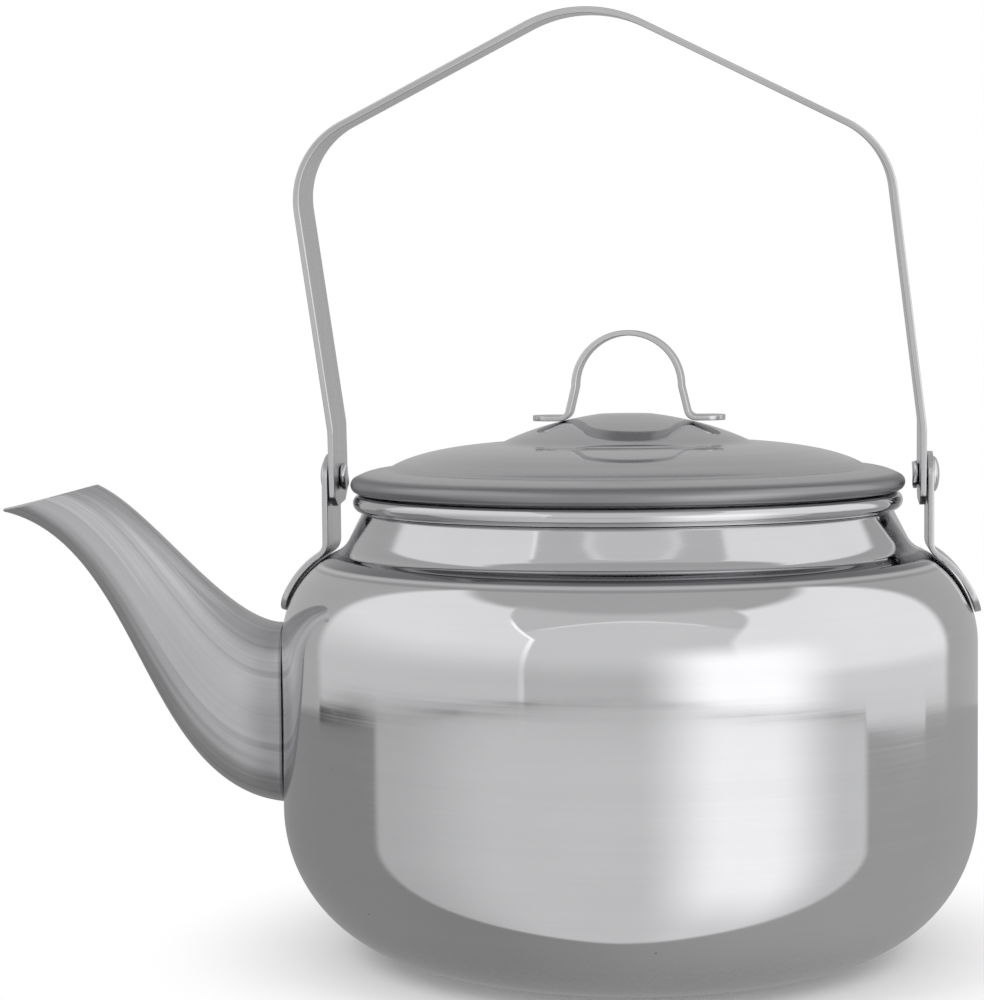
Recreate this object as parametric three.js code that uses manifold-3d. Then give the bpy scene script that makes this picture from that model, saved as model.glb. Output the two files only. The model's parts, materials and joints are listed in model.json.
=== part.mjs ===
// Camp coffee kettle of stainless sheet: a squat drawn body with a rolled rim, a goose-neck spout,
// a lift-off lid with a strap handle, and a flat strap bail that swings on two rivets.
//
// Frame: millimetres, +Z up, origin at the centre of the flat base. The spout points along -X,
// and the bail swings about a line along X.

import * as THREE from "three";
import { mergeVertices } from "three/addons/utils/BufferGeometryUtils.js";
import Module from "manifold-3d";

const wasm = await Module();
wasm.setup();

// Clearances shared by all pieces
const seatGap = 0.3; // between a piece and the curved or turned face that it rests on
const cutOverrun = 5; // how far a cutting tool runs past what it cuts

// Body: one disc of sheet, drawn, spun in at the neck and rolled out over a round rim
const bodySheet = 0.8;
const bodyRadius = 82.5;
const baseCornerRadius = 35;
const wallTopHeight = 73.6;
const shoulderRun = 19.6;
const shoulderRise = 23;
const neckInset = 15.6; // wall to the foot of the neck
const neckRun = 3.8; // foot of the neck to the rim's centre, inwards
const neckRise = 10.55; // top of the shoulder to the rim's centre
const neckFootFillet = 2.4;
const rimRadius = 2.05;
const rimCurlEnd = -75; // degrees about the roll's centre, where the edge of the sheet stops

// Spout: its side view is two edge curves, each with a pull length and an angle at either end
const spoutSheet = 0.8;
const spoutTopRootRise = 4; // above the straight wall
const spoutTopRootPull = 14.1;
const spoutTopRootAngle = -7.5;
const spoutHeelRun = 47; // out from the wall
const spoutHeelRise = 2; // above the rim
const spoutHeelPull = 14.9;
const spoutHeelAngle = 22.9;
const spoutFootRootDrop = 1.2; // below the top of the base's round
const spoutFootRootPull = 36.7;
const spoutFootRootAngle = 3.9;
const spoutLipRun = 70.2; // out from the wall
const spoutLipDrop = 4.5; // below the rim
const spoutLipPull = 36.3;
const spoutLipAngle = 12.6;
const spoutRootWidth = 35;
const spoutMouthWidth = 17.6;
const spoutTaperPower = 1.6; // how fast the width falls from the root to the mouth

// Strainer: a perforated plate bent to the wall, inside the body over the spout's root
const strainerSheet = 0.6;
const strainerBorder = 3;
const strainerHoleRadius = 1.9;
const strainerPitch = 6.4;

// Ears: two equal straps, upright at the pivot and bent out along the shoulder
const earSheet = 1.4;
const earWidth = 19;
const earStandOff = 6.3; // edge of the lid to the outer face of the upright part
const earBendRadius = 2;
const earTopRise = 5.4; // above the pivot
const earTailDrop = 14.9; // of the tail below the bend
const earTailRound = 5;

// Pivots
const pivotRise = 3.8; // above the rim
const rivetShankRadius = 2.5;
const rivetPlay = 0.25; // around the shank, in the ear and in the bail
const rivetHeadRadius = 4.2;
const rivetHeadRise = 1.7;
const rivetTailRadius = 3.2;
const rivetTailRise = 1.2;

// Bail: heights are above the pivot, along its own plane
const bailSheet = 1.5;
const bailWidth = 19;
const bailGap = 0.3; // to the ear on one side and to the rivet's tail on the other
const bailEndDrop = 6.5;
const bailEndChamferWidth = 4.2;
const bailEndChamferHeight = 2.6;
const bailKneeHeight = 12; // where a leg starts to lean
const bailKneeRadius = 12;
const bailCornerHeight = 77.6;
const bailCornerRadius = 20;
const bailPeakHeight = 112.6;
const bailPeakRadius = 30;
const bailSway = 8.2; // of the corners and the peak, towards the spout, as photographed
const bailTilt = 5; // degrees, of the whole bail about its pivots, towards -Y

// Lid: pressed disc with a rolled edge; insets and heights are from the roll's centre
const lidSheet = 0.8;
const lidRollRadius = 1.9;
const lidOverhang = 0.7; // of the lid's roll beyond the body's
const lidRollStart = 70; // degrees about the roll's centre
const lidRollEnd = -150;
const lidCrownInset = 3.2; // pull point of the raised band inside the roll
const lidCrownRise = 3.8;
const lidCreaseInset = 6.7;
const lidCreaseRise = 3.4;
const lidDomeInset = 13.3; // pull point of the dome
const lidDomeRise = 8.3;
const hatFootRadius = 29.8;
const hatFootRise = 9.5;
const hatPullRadius = 19.9; // pull point of the raised centre
const hatPullRise = 14.3;
const hatTopRadius = 6.5;
const hatTopRise = 16.2;

// Skirt: ring under the lid that drops into the neck
const skirtSheet = 0.6;
const skirtPlay = 0.8; // to the throat of the rolled rim
const skirtFlangeWidth = 2.5;
const skirtBendRadius = 1.2;
const skirtDepth = 13.4;

// Lid handle: strap arch on two flat feet
const handleSheet = 1.3;
const handleWidth = 12;
const handleSway = 0.7; // of the whole handle, away from the spout, as photographed
const handleArchHalfSpan = 12.6;
const handleArchRise = 12.6; // springing line to the top of the arch
const handleLegHeight = 7.5; // foot to springing line
const handleKneeHalfSpan = 14.4;
const handleKneeRadius = 2.2;
const handleFootHalfSpan = 22.9;
const handleFootRound = 4;

// Fineness of round shapes, in steps
const turnSteps = 44;
const cornerSteps = 7;
const shoulderSteps = 7;
const rollSteps = 7;
const bendSteps = 4;
const archSteps = 14;
const curveSteps = 4;
const spoutStations = 14;
const spoutSides = 24;
const holeSteps = 16;
const strainerHoleSteps = 8;
const headSteps = 4;

// Finish of the steel
const polished = { color: 0xc9cacb, metalness: 1, roughness: 0.16 };
const satin = { color: 0xa9aaab, metalness: 1, roughness: 0.34 };
const bright = { color: 0xd4d5d6, metalness: 1, roughness: 0.24 };

const radians = (degrees) => (degrees * Math.PI) / 180;
const point = (x, y) => new THREE.Vector2(x, y);

// Points of an arc of an ellipse about a centre, from one angle to another, in degrees
function arc(centre, radiusX, radiusY, from, to, steps) {
  return Array.from({ length: steps + 1 }, (_, i) => {
    const angle = radians(from + ((to - from) * i) / steps);
    return point(centre.x + radiusX * Math.cos(angle), centre.y + radiusY * Math.sin(angle));
  });
}

// Points of a curve that leaves one end and reaches the other along the lines to a pull point
function pulled(start, pull, end, steps) {
  return new THREE.QuadraticBezierCurve(start, pull, end).getPoints(steps);
}

// A path with a round of its own radius at each inner corner
function rounded(corners, radii, steps) {
  return corners.flatMap((corner, i) => {
    const radius = radii[i];
    if (!radius) return [corner];
    const before = corners[i - 1].clone().sub(corner).normalize();
    const after = corners[i + 1].clone().sub(corner).normalize();
    const halfAngle = Math.acos(before.dot(after)) / 2;
    const middle = before.clone().add(after).normalize();
    const centre = corner.clone().addScaledVector(middle, radius / Math.sin(halfAngle));
    const tangent = radius / Math.tan(halfAngle);
    const start = corner.clone().addScaledVector(before, tangent).sub(centre);
    const end = corner.clone().addScaledVector(after, tangent).sub(centre);
    const sweep = Math.atan2(start.cross(end), start.dot(end));
    return Array.from({ length: steps + 1 }, (_, k) =>
      start.clone().rotateAround(point(0, 0), (sweep * k) / steps).add(centre),
    );
  });
}

// A path moved sideways, to its left for a positive distance
function moved(path, distance) {
  return path.map((here, i) => {
    const into = here.clone().sub(path[Math.max(i - 1, 0)]).normalize();
    const out = path[Math.min(i + 1, path.length - 1)].clone().sub(here).normalize();
    const along = into.clone().add(out).normalize();
    const shortening = Math.max(along.dot(i ? into : out), Math.SQRT1_2);
    return point(here.x - (along.y * distance) / shortening, here.y + (along.x * distance) / shortening);
  });
}

// The closed section of a sheet whose middle follows a path
function sheetSection(path, thickness) {
  return [...moved(path, -thickness / 2), ...moved(path, thickness / 2).reverse()];
}

// Geometry and solids
function withoutLooks(geometry) {
  const bare = geometry.index ? geometry.toNonIndexed() : geometry.clone();
  bare.deleteAttribute("normal");
  bare.deleteAttribute("uv");
  return mergeVertices(bare);
}

function solidOf(geometry) {
  const merged = withoutLooks(geometry);
  const corners = merged.index.array;
  const kept = [];
  for (let i = 0; i < corners.length; i += 3) {
    const [a, b, c] = corners.slice(i, i + 3);
    if (a !== b && b !== c && c !== a) kept.push(a, b, c);
  }
  return new wasm.Manifold(
    new wasm.Mesh({
      numProp: 3,
      vertProperties: merged.attributes.position.array,
      triVerts: new Uint32Array(kept),
    }),
  );
}

function geometryOf(solid) {
  const mesh = solid.getMesh();
  const geometry = new THREE.BufferGeometry();
  geometry.setAttribute("position", new THREE.BufferAttribute(mesh.vertProperties, 3));
  geometry.setIndex(new THREE.BufferAttribute(mesh.triVerts, 1));
  geometry.computeVertexNormals();
  return geometry;
}

// A section in radius and height, turned about the Z axis
function revolved(section, closes) {
  const profile = closes ? [...section, section[0].clone()] : section;
  return new THREE.LatheGeometry(profile, turnSteps).rotateX(Math.PI / 2);
}

// An outline in X and Z, given a width along Y about the middle plane
function acrossY(outline, width) {
  const shape = new THREE.Shape(outline);
  const geometry = new THREE.ExtrudeGeometry(shape, { depth: width, bevelEnabled: false });
  return geometry.translate(0, 0, -width / 2).rotateX(Math.PI / 2);
}

// An outline in Y and Z, given a reach along X from one place to another
function alongX(outline, from, to) {
  const shape = new THREE.Shape(outline);
  const geometry = new THREE.ExtrudeGeometry(shape, { depth: to - from, bevelEnabled: false });
  return geometry.rotateX(Math.PI / 2).rotateZ(Math.PI / 2).translate(from, 0, 0);
}

function roundBarAlongX(radius, height, from, to, steps) {
  const outline = arc(point(0, height), radius, radius, 0, 360, steps).slice(1);
  return alongX(outline, from, to);
}

// A ring-shaped skin through closed loops of points, the last loop joined to the first
function loft(loops) {
  const sides = loops[0].length;
  const positions = loops.flat().flatMap((p) => [p.x, p.y, p.z]);
  const index = [];
  loops.forEach((_, i) => {
    const next = (i + 1) % loops.length;
    for (let k = 0; k < sides; k += 1) {
      const after = (k + 1) % sides;
      const [a, b] = [i * sides + k, i * sides + after];
      const [c, d] = [next * sides + k, next * sides + after];
      index.push(a, b, d, a, d, c);
    }
  });
  const geometry = new THREE.BufferGeometry();
  geometry.setAttribute("position", new THREE.Float32BufferAttribute(positions, 3));
  geometry.setIndex(index);
  geometry.computeVertexNormals();
  return geometry;
}

// Body
const neckFootRadius = bodyRadius - neckInset;
const neckCorner = shoulderAt(neckFootRadius, 0);
const rimCentre = point(neckFootRadius - neckRun, wallTopHeight + shoulderRise + neckRise);
const throatRadius = rimCentre.x - rimRadius;
const rimTopHeight = rimCentre.y + rimRadius;

// Point of the shoulder's quarter ellipse, moved out by a distance, at a radius from the axis
function shoulderAt(radius, outwards) {
  const share = (radius - (bodyRadius - shoulderRun)) / (shoulderRun + outwards);
  return point(radius, wallTopHeight + (shoulderRise + outwards) * Math.sqrt(1 - share * share));
}

// Degrees round the shoulder's ellipse, moved out by a distance, where it has a given height
function shoulderAngleAtHeight(height, outwards) {
  return (Math.asin((height - wallTopHeight) / (shoulderRise + outwards)) * 180) / Math.PI;
}

function shoulderAngleAtRadius(radius, outwards) {
  const share = (radius - (bodyRadius - shoulderRun)) / (shoulderRun + outwards);
  return (Math.acos(share) * 180) / Math.PI;
}

function shoulderArc(outwards, from, to) {
  const centre = point(bodyRadius - shoulderRun, wallTopHeight);
  return arc(centre, shoulderRun + outwards, shoulderRise + outwards, from, to, shoulderSteps);
}

// The round between base and wall, moved out by a distance, from an angle up to the wall
function baseCornerArc(outwards, from) {
  const centre = point(bodyRadius - baseCornerRadius, baseCornerRadius);
  const radius = baseCornerRadius + outwards;
  return arc(centre, radius, radius, from, 0, cornerSteps);
}

function baseCornerAngleAtHeight(height, outwards) {
  const drop = Math.max(baseCornerRadius - height, 0);
  return (-Math.asin(drop / (baseCornerRadius + outwards)) * 180) / Math.PI;
}

// Angle about the roll's centre where a straight line from a point meets the roll
function tangentAngle(from, centre, radius) {
  const away = from.clone().sub(centre);
  const opening = Math.acos(radius / away.length());
  return ((away.angle() - opening) * 180) / Math.PI;
}

function bodyGeometry() {
  const half = bodySheet / 2;
  const corner = baseCornerArc(-half, -90);
  const foot = shoulderAngleAtRadius(neckFootRadius + neckFootFillet, -half);
  const shoulder = shoulderArc(-half, 0, foot);
  const rollMiddle = rimRadius - half;
  const meets = tangentAngle(neckCorner, rimCentre, rollMiddle);
  const roll = arc(rimCentre, rollMiddle, rollMiddle, meets, rimCurlEnd, rollSteps);
  const neckTop = roll[0];
  const upNeck = neckTop.clone().sub(neckCorner).normalize();
  const neckFoot = neckCorner.clone().addScaledVector(upNeck, neckFootFillet);
  const fillet = pulled(shoulder[shoulder.length - 1], neckCorner, neckFoot, bendSteps);
  const path = [point(0, half), ...corner, ...shoulder, ...fillet.slice(1), ...roll];
  const shell = solidOf(revolved(sheetSection(path, bodySheet), false));
  return geometryOf(shell.subtract(solidOf(rootOpening(0))));
}

const spoutTopRootHeight = wallTopHeight + spoutTopRootRise;
const spoutFootRootHeight = baseCornerRadius - spoutFootRootDrop;

// The opening in the wall at the spout's root, with its edge moved out by a margin
function rootOpening(margin) {
  const middle = (spoutTopRootHeight + spoutFootRootHeight) / 2;
  const halfWidth = spoutRootWidth / 2 - spoutSheet + margin;
  const halfHeight = (spoutTopRootHeight - spoutFootRootHeight) / 2 - spoutSheet + margin;
  const outline = arc(point(0, middle), halfWidth, halfHeight, 0, 360, spoutSides).slice(1);
  return alongX(outline, -bodyRadius - cutOverrun, -bodyRadius / 2);
}

// Spout
const fromAngle = (degrees) => point(Math.cos(radians(degrees)), Math.sin(radians(degrees)));

// One edge of the side view, from the wall outwards, as a curve in reach and height
function spoutEdge(rootHeight, rootPull, rootAngle, tipRun, tipHeight, tipPull, tipAngle) {
  const root = point(bodyRadius, rootHeight);
  const tip = point(bodyRadius + tipRun, tipHeight);
  const leaving = root.clone().addScaledVector(fromAngle(rootAngle), rootPull);
  const reaching = tip.clone().addScaledVector(fromAngle(tipAngle), -tipPull);
  return new THREE.CubicBezierCurve(root, leaving, reaching, tip);
}

const spoutTop = spoutEdge(
  spoutTopRootHeight,
  spoutTopRootPull,
  spoutTopRootAngle,
  spoutHeelRun,
  rimTopHeight + spoutHeelRise,
  spoutHeelPull,
  spoutHeelAngle,
);
const spoutFoot = spoutEdge(
  spoutFootRootHeight,
  spoutFootRootPull,
  spoutFootRootAngle,
  spoutLipRun,
  rimTopHeight - spoutLipDrop,
  spoutLipPull,
  spoutLipAngle,
);

// Point of an edge curve, moved to its left by a distance
function edgePoint(edge, share, inwards) {
  const tangent = edge.getTangent(share);
  return edge.getPoint(share).add(point(-tangent.y, tangent.x).multiplyScalar(inwards));
}

// One oval loop of the spout at a share of its way out, with its skin moved in by a distance
function spoutLoop(share, inwards) {
  const top = edgePoint(spoutTop, share, -inwards);
  const foot = edgePoint(spoutFoot, share, inwards);
  const middle = top.clone().add(foot).multiplyScalar(0.5);
  const half = top.clone().sub(middle);
  const fall = (1 - share) ** spoutTaperPower;
  const width = spoutMouthWidth + (spoutRootWidth - spoutMouthWidth) * fall;
  const halfWidth = width / 2 - inwards;
  const wall = bodyRadius + seatGap;
  return Array.from({ length: spoutSides }, (_, k) => {
    const angle = radians((360 * k) / spoutSides);
    const at = middle.clone().addScaledVector(half, Math.cos(angle));
    const y = halfWidth * Math.sin(angle);
    const reach = share ? at.x : Math.sqrt(wall * wall - y * y);
    return new THREE.Vector3(-reach, y, at.y);
  });
}

function spoutGeometry() {
  const shares = Array.from({ length: spoutStations + 1 }, (_, i) => i / spoutStations);
  const outer = shares.map((share) => spoutLoop(share, 0));
  const inner = shares.map((share) => spoutLoop(share, spoutSheet)).reverse();
  return loft([...outer, ...inner]);
}

// Strainer
function strainerGeometry() {
  const outwards = -bodySheet - seatGap - strainerSheet / 2;
  const low = spoutFootRootHeight - cutOverrun;
  const high = spoutTopRootHeight + cutOverrun;
  const path = [
    ...baseCornerArc(outwards, baseCornerAngleAtHeight(low, outwards)),
    ...shoulderArc(outwards, 0, shoulderAngleAtHeight(high, outwards)),
  ];
  const band = solidOf(revolved(sheetSection(path, strainerSheet), true));
  const plate = band.intersect(solidOf(rootOpening(strainerBorder)));
  const middle = (spoutTopRootHeight + spoutFootRootHeight) / 2;
  const halfWidth = spoutRootWidth / 2 - spoutSheet - strainerHoleRadius;
  const halfHeight = (spoutTopRootHeight - spoutFootRootHeight) / 2 - spoutSheet - strainerHoleRadius;
  const rowPitch = strainerPitch * Math.sin(radians(60));
  const rows = Math.floor(halfHeight / rowPitch);
  let sieve = plate;
  for (let row = -rows; row <= rows; row += 1) {
    const shift = row % 2 ? strainerPitch / 2 : 0;
    const height = row * rowPitch;
    const most = Math.ceil(halfWidth / strainerPitch);
    for (let column = -most; column <= most; column += 1) {
      const y = column * strainerPitch + shift;
      const inside = (y / halfWidth) ** 2 + (height / halfHeight) ** 2 <= 1;
      if (!inside) continue;
      const bar = roundBarAlongX(
        strainerHoleRadius,
        middle + height,
        -bodyRadius - cutOverrun,
        -bodyRadius / 2,
        strainerHoleSteps,
      );
      sieve = sieve.subtract(solidOf(bar.translate(0, y, 0)));
    }
  }
  return geometryOf(sieve);
}

// Pivots
const pivotHeight = rimTopHeight + pivotRise;

// Ears
const lidRollCentreRadius = rimCentre.x + lidOverhang;
const earFaceReach = lidRollCentreRadius + lidRollRadius + earStandOff;
const earMiddle = earFaceReach - earSheet / 2;
const earInnerFace = earFaceReach - earSheet;

// Face of a strap seen along X: straight sides with an oval end above and below
function roundEndedFace(width, low, lowRound, high, highRound) {
  const half = width / 2;
  return [
    ...arc(point(0, high - highRound), half, highRound, 0, 180, archSteps),
    ...arc(point(0, low + lowRound), half, lowRound, 180, 360, archSteps),
  ];
}

// The ear on the +X side
function earGeometry() {
  const outwards = seatGap + earSheet / 2;
  const bend = shoulderAt(earMiddle, outwards);
  const tailHeight = bend.y - earTailDrop;
  const bendAngle = shoulderAngleAtRadius(earMiddle, outwards);
  const tailAngle = shoulderAngleAtHeight(tailHeight, outwards);
  const tail = shoulderArc(outwards, bendAngle, tailAngle);
  const top = pivotHeight + earTopRise;
  const pastBend = tail.findIndex((p) => p.distanceTo(bend) > earBendRadius);
  const upright = bend.clone().add(point(0, earBendRadius));
  const path = [
    point(earMiddle, top + cutOverrun),
    ...pulled(upright, bend, tail[pastBend], bendSteps),
    ...tail.slice(pastBend + 1),
  ];
  const strap = solidOf(acrossY(sheetSection(path, earSheet), earWidth));
  const face = roundEndedFace(earWidth, tailHeight, earTailRound, top, earTopRise);
  const blank = solidOf(alongX(face, 0, bodyRadius + cutOverrun));
  const hole = roundBarAlongX(
    rivetShankRadius + rivetPlay,
    pivotHeight,
    earInnerFace - cutOverrun,
    earFaceReach + cutOverrun,
    holeSteps,
  );
  return geometryOf(strap.intersect(blank).subtract(solidOf(hole)));
}

// Rivets
const bailOuterFace = earInnerFace - bailGap;
const bailInnerFace = bailOuterFace - bailSheet;

// The rivet on the +X side: a domed head outside the ear, and a tail upset inside the bail
function rivetGeometry() {
  const tailFace = bailInnerFace - bailGap;
  const headRise = (share) => earFaceReach + rivetHeadRise * Math.sin(radians(90 * share));
  const headRadius = (share) => rivetHeadRadius * Math.cos(radians(90 * share));
  const head = Array.from({ length: headSteps + 1 }, (_, i) => {
    const share = i / headSteps;
    return point(share < 1 ? headRadius(share) : 0, headRise(share));
  });
  const profile = [
    point(0, tailFace - rivetTailRise),
    point(rivetTailRadius * Math.SQRT1_2, tailFace - rivetTailRise),
    point(rivetTailRadius, tailFace - rivetTailRise / 2),
    point(rivetTailRadius, tailFace),
    point(rivetShankRadius, tailFace),
    point(rivetShankRadius, earFaceReach),
    ...head,
  ];
  const geometry = new THREE.LatheGeometry(profile, holeSteps);
  return geometry.rotateZ(-Math.PI / 2).translate(0, 0, pivotHeight);
}

// Bail, in a frame whose origin is the middle of the pivot line
function bailGeometry() {
  const leg = bailOuterFace - bailSheet / 2;
  const corners = [
    point(-leg, -bailEndDrop - cutOverrun),
    point(-leg, bailKneeHeight),
    point(-leg - bailSway, bailCornerHeight),
    point(-bailSway, bailPeakHeight),
    point(leg - bailSway, bailCornerHeight),
    point(leg, bailKneeHeight),
    point(leg, -bailEndDrop - cutOverrun),
  ];
  const radii = [0, bailKneeRadius, bailCornerRadius, bailPeakRadius, bailCornerRadius, bailKneeRadius, 0];
  const path = rounded(corners, radii, cornerSteps);
  const strap = solidOf(acrossY(sheetSection(path, bailSheet), bailWidth));
  const half = bailWidth / 2;
  const chamfered = half - bailEndChamferWidth;
  const chamferTop = bailEndChamferHeight - bailEndDrop;
  const top = bailPeakHeight + cutOverrun;
  const face = [
    point(half, top),
    point(-half, top),
    point(-half, chamferTop),
    point(-chamfered, -bailEndDrop),
    point(chamfered, -bailEndDrop),
    point(half, chamferTop),
  ];
  const reach = leg + bailSway + cutOverrun;
  const blank = solidOf(alongX(face, -reach, reach));
  const holes = solidOf(roundBarAlongX(rivetShankRadius + rivetPlay, 0, -reach, reach, holeSteps));
  return geometryOf(strap.intersect(blank).subtract(holes));
}

// Lid
const lidRollHeight = rimTopHeight + seatGap + lidRollRadius;

// The lid's outer surface inside its roll, from the axis outwards, in radius and height
function lidSurface() {
  const at = (radius, rise) => point(radius, lidRollHeight + rise);
  const inset = (distance, rise) => at(lidRollCentreRadius - distance, rise);
  const hatTop = at(hatTopRadius, hatTopRise);
  const hatFoot = at(hatFootRadius, hatFootRise);
  const crease = inset(lidCreaseInset, lidCreaseRise);
  const rollCentre = at(lidRollCentreRadius, 0);
  const roll = arc(rollCentre, lidRollRadius, lidRollRadius, lidRollStart, lidRollEnd, rollSteps);
  return [
    at(0, hatTopRise),
    ...pulled(hatTop, at(hatPullRadius, hatPullRise), hatFoot, curveSteps),
    ...pulled(hatFoot, inset(lidDomeInset, lidDomeRise), crease, curveSteps).slice(1),
    ...pulled(crease, inset(lidCrownInset, lidCrownRise), roll[0], curveSteps).slice(1),
    ...roll.slice(1),
  ];
}

function lidGeometry() {
  const outer = lidSurface();
  const inner = moved(outer, -lidSheet);
  inner[0].x = 0;
  return revolved([...inner, ...outer.reverse()], false);
}

// Skirt
function skirtGeometry() {
  const half = skirtSheet / 2;
  const wall = throatRadius - skirtPlay - half;
  const flange = wall - skirtFlangeWidth;
  const top = lidRollHeight + lidCreaseRise - lidSheet - seatGap - half;
  const corners = [point(flange, top), point(wall, top), point(wall, top - skirtDepth)];
  const path = rounded(corners, [0, skirtBendRadius, 0], bendSteps);
  return revolved(sheetSection(path, skirtSheet), true);
}

// Lid handle: its feet rest on the raised centre of the lid, beside the knees
function hatHeight(radius) {
  const surface = lidSurface();
  const next = surface.findIndex((p) => p.x >= radius);
  const [a, b] = [surface[next - 1], surface[next]];
  return a.y + ((b.y - a.y) * (radius - a.x)) / (b.x - a.x);
}

function handleGeometry() {
  const nearerFoot = handleKneeHalfSpan + handleKneeRadius - handleSway;
  const foot = hatHeight(nearerFoot) + seatGap + handleSheet / 2;
  const springing = foot + handleLegHeight;
  const leftFoot = rounded(
    [
      point(-handleFootHalfSpan, foot),
      point(-handleKneeHalfSpan, foot),
      point(-handleArchHalfSpan, springing),
    ],
    [0, handleKneeRadius, 0],
    bendSteps,
  );
  const rightFoot = leftFoot.map((p) => point(-p.x, p.y)).reverse();
  const arch = arc(point(0, springing), handleArchHalfSpan, handleArchRise, 180, 0, archSteps);
  const path = [...leftFoot, ...arch.slice(1, -1), ...rightFoot];
  const strap = solidOf(acrossY(sheetSection(path, handleSheet), handleWidth));
  const half = handleWidth / 2;
  const straight = handleFootHalfSpan - handleFootRound;
  const plan = new THREE.Shape([
    ...arc(point(straight, 0), handleFootRound, half, -90, 90, cornerSteps),
    ...arc(point(-straight, 0), handleFootRound, half, 90, 270, cornerSteps),
  ]);
  const depth = handleArchRise + handleLegHeight + 2 * cutOverrun;
  const blank = new THREE.ExtrudeGeometry(plan, { depth, bevelEnabled: false });
  blank.translate(0, 0, foot - cutOverrun);
  return geometryOf(strap.intersect(solidOf(blank)).translate([handleSway, 0, 0]));
}

// Assembly
const kettle = new THREE.Group();

function piece(name, geometry, finish, parent = kettle) {
  const mesh = new THREE.Mesh(geometry, new THREE.MeshStandardMaterial(finish));
  mesh.name = name;
  parent.add(mesh);
  return mesh;
}

piece("body_shell", bodyGeometry(), polished);
piece("spout", spoutGeometry(), satin);
piece("spout_strainer", strainerGeometry(), satin);

// The spout side is the +X side turned half a turn about Z
for (const [side, turn] of [["spout_side", Math.PI], ["back", 0]]) {
  piece(`ear_${side}`, earGeometry(), bright).rotation.z = turn;
  piece(`rivet_${side}`, rivetGeometry(), bright).rotation.z = turn;
}

const bailFrame = new THREE.Group();
bailFrame.position.z = pivotHeight;
bailFrame.rotation.x = radians(bailTilt);
kettle.add(bailFrame);
piece("bail", bailGeometry(), bright, bailFrame);

piece("lid_shell", lidGeometry(), satin);
piece("lid_skirt", skirtGeometry(), satin);
piece("lid_handle", handleGeometry(), bright);

export default kettle;
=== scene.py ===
"""Looks of the camp coffee kettle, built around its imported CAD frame.

Everything is in metres in the CAD's own frame: +Z up, origin at the centre of the flat base, the
spout along -X, the camera on the -Y side. Sizes below repeat the CAD source's own, in millimetres,
and are multiplied by MM where a mesh is made.
"""

import json
import math

import bmesh
import bpy
import numpy as np
from mathutils import Matrix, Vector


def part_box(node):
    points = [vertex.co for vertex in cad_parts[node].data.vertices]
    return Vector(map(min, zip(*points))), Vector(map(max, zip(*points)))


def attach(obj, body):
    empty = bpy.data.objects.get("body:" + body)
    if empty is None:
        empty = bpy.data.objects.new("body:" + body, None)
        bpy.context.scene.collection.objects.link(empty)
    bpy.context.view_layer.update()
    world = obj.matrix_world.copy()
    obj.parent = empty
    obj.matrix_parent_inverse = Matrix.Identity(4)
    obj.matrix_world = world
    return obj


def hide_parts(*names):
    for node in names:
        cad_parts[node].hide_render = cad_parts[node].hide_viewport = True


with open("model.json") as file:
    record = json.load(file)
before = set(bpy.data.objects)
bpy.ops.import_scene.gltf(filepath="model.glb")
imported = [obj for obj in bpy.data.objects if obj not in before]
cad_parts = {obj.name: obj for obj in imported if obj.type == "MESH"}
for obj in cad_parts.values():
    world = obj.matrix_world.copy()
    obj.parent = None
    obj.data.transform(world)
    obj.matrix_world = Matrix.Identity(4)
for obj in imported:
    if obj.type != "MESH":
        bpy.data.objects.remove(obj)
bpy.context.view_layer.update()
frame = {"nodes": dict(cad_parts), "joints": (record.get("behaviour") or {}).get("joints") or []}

MM = 0.001
scene = bpy.context.scene
scene.view_settings.view_transform = "Standard"

# ---------------------------------------------------------------- camera
PHOTO_WIDTH, PHOTO_HEIGHT = 984, 1000
CAMERA_PLACE = (39.0, -623.8, 146.3)
CAMERA_YAW = 6.518  # degrees, towards -X
CAMERA_PITCH = 3.573  # degrees, downwards
CAMERA_ROLL = -0.558  # degrees
CAMERA_FOCUS = 2622.5  # pixels of the photograph's frame
SENSOR = 36.0
NEAREST_SEEN, FURTHEST_SEEN = 0.01, 20


def make_camera():
    yaw, pitch, roll = (math.radians(a) for a in (CAMERA_YAW, CAMERA_PITCH, CAMERA_ROLL))
    ahead = np.array([
        -math.sin(yaw) * math.cos(pitch),
        math.cos(yaw) * math.cos(pitch),
        -math.sin(pitch),
    ])
    level = np.array([math.cos(yaw), math.sin(yaw), 0.0])
    up = np.cross(level, ahead)
    right = level * math.cos(roll) + up * math.sin(roll)
    top = -level * math.sin(roll) + up * math.cos(roll)
    data = bpy.data.cameras.new("photo_camera")
    data.sensor_width = SENSOR
    data.lens = CAMERA_FOCUS * SENSOR / max(PHOTO_WIDTH, PHOTO_HEIGHT)
    data.clip_start, data.clip_end = NEAREST_SEEN, FURTHEST_SEEN
    camera = bpy.data.objects.new("photo_camera", data)
    scene.collection.objects.link(camera)
    turn = Matrix(np.c_[right, top, -ahead].tolist()).to_4x4()
    camera.matrix_world = Matrix.Translation([v * MM for v in CAMERA_PLACE]) @ turn
    scene.camera = camera


make_camera()

# ---------------------------------------------------------------- flat paths


def arc(centre, radius_x, radius_y, start, end, steps):
    """Points of an arc of an ellipse, angles in degrees."""
    angle = np.radians(np.linspace(start, end, steps + 1))
    return np.c_[centre[0] + radius_x * np.cos(angle), centre[1] + radius_y * np.sin(angle)]


def pulled(start, pull, end, steps):
    """A curve that leaves one end and reaches the other along the lines to a pull point."""
    start, pull, end = (np.asarray(p, float) for p in (start, pull, end))
    t = np.linspace(0, 1, steps + 1)[:, None]
    return (1 - t) ** 2 * start + 2 * t * (1 - t) * pull + t * t * end


def unit(vector):
    length = np.linalg.norm(vector)
    return vector / length if length else vector


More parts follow.
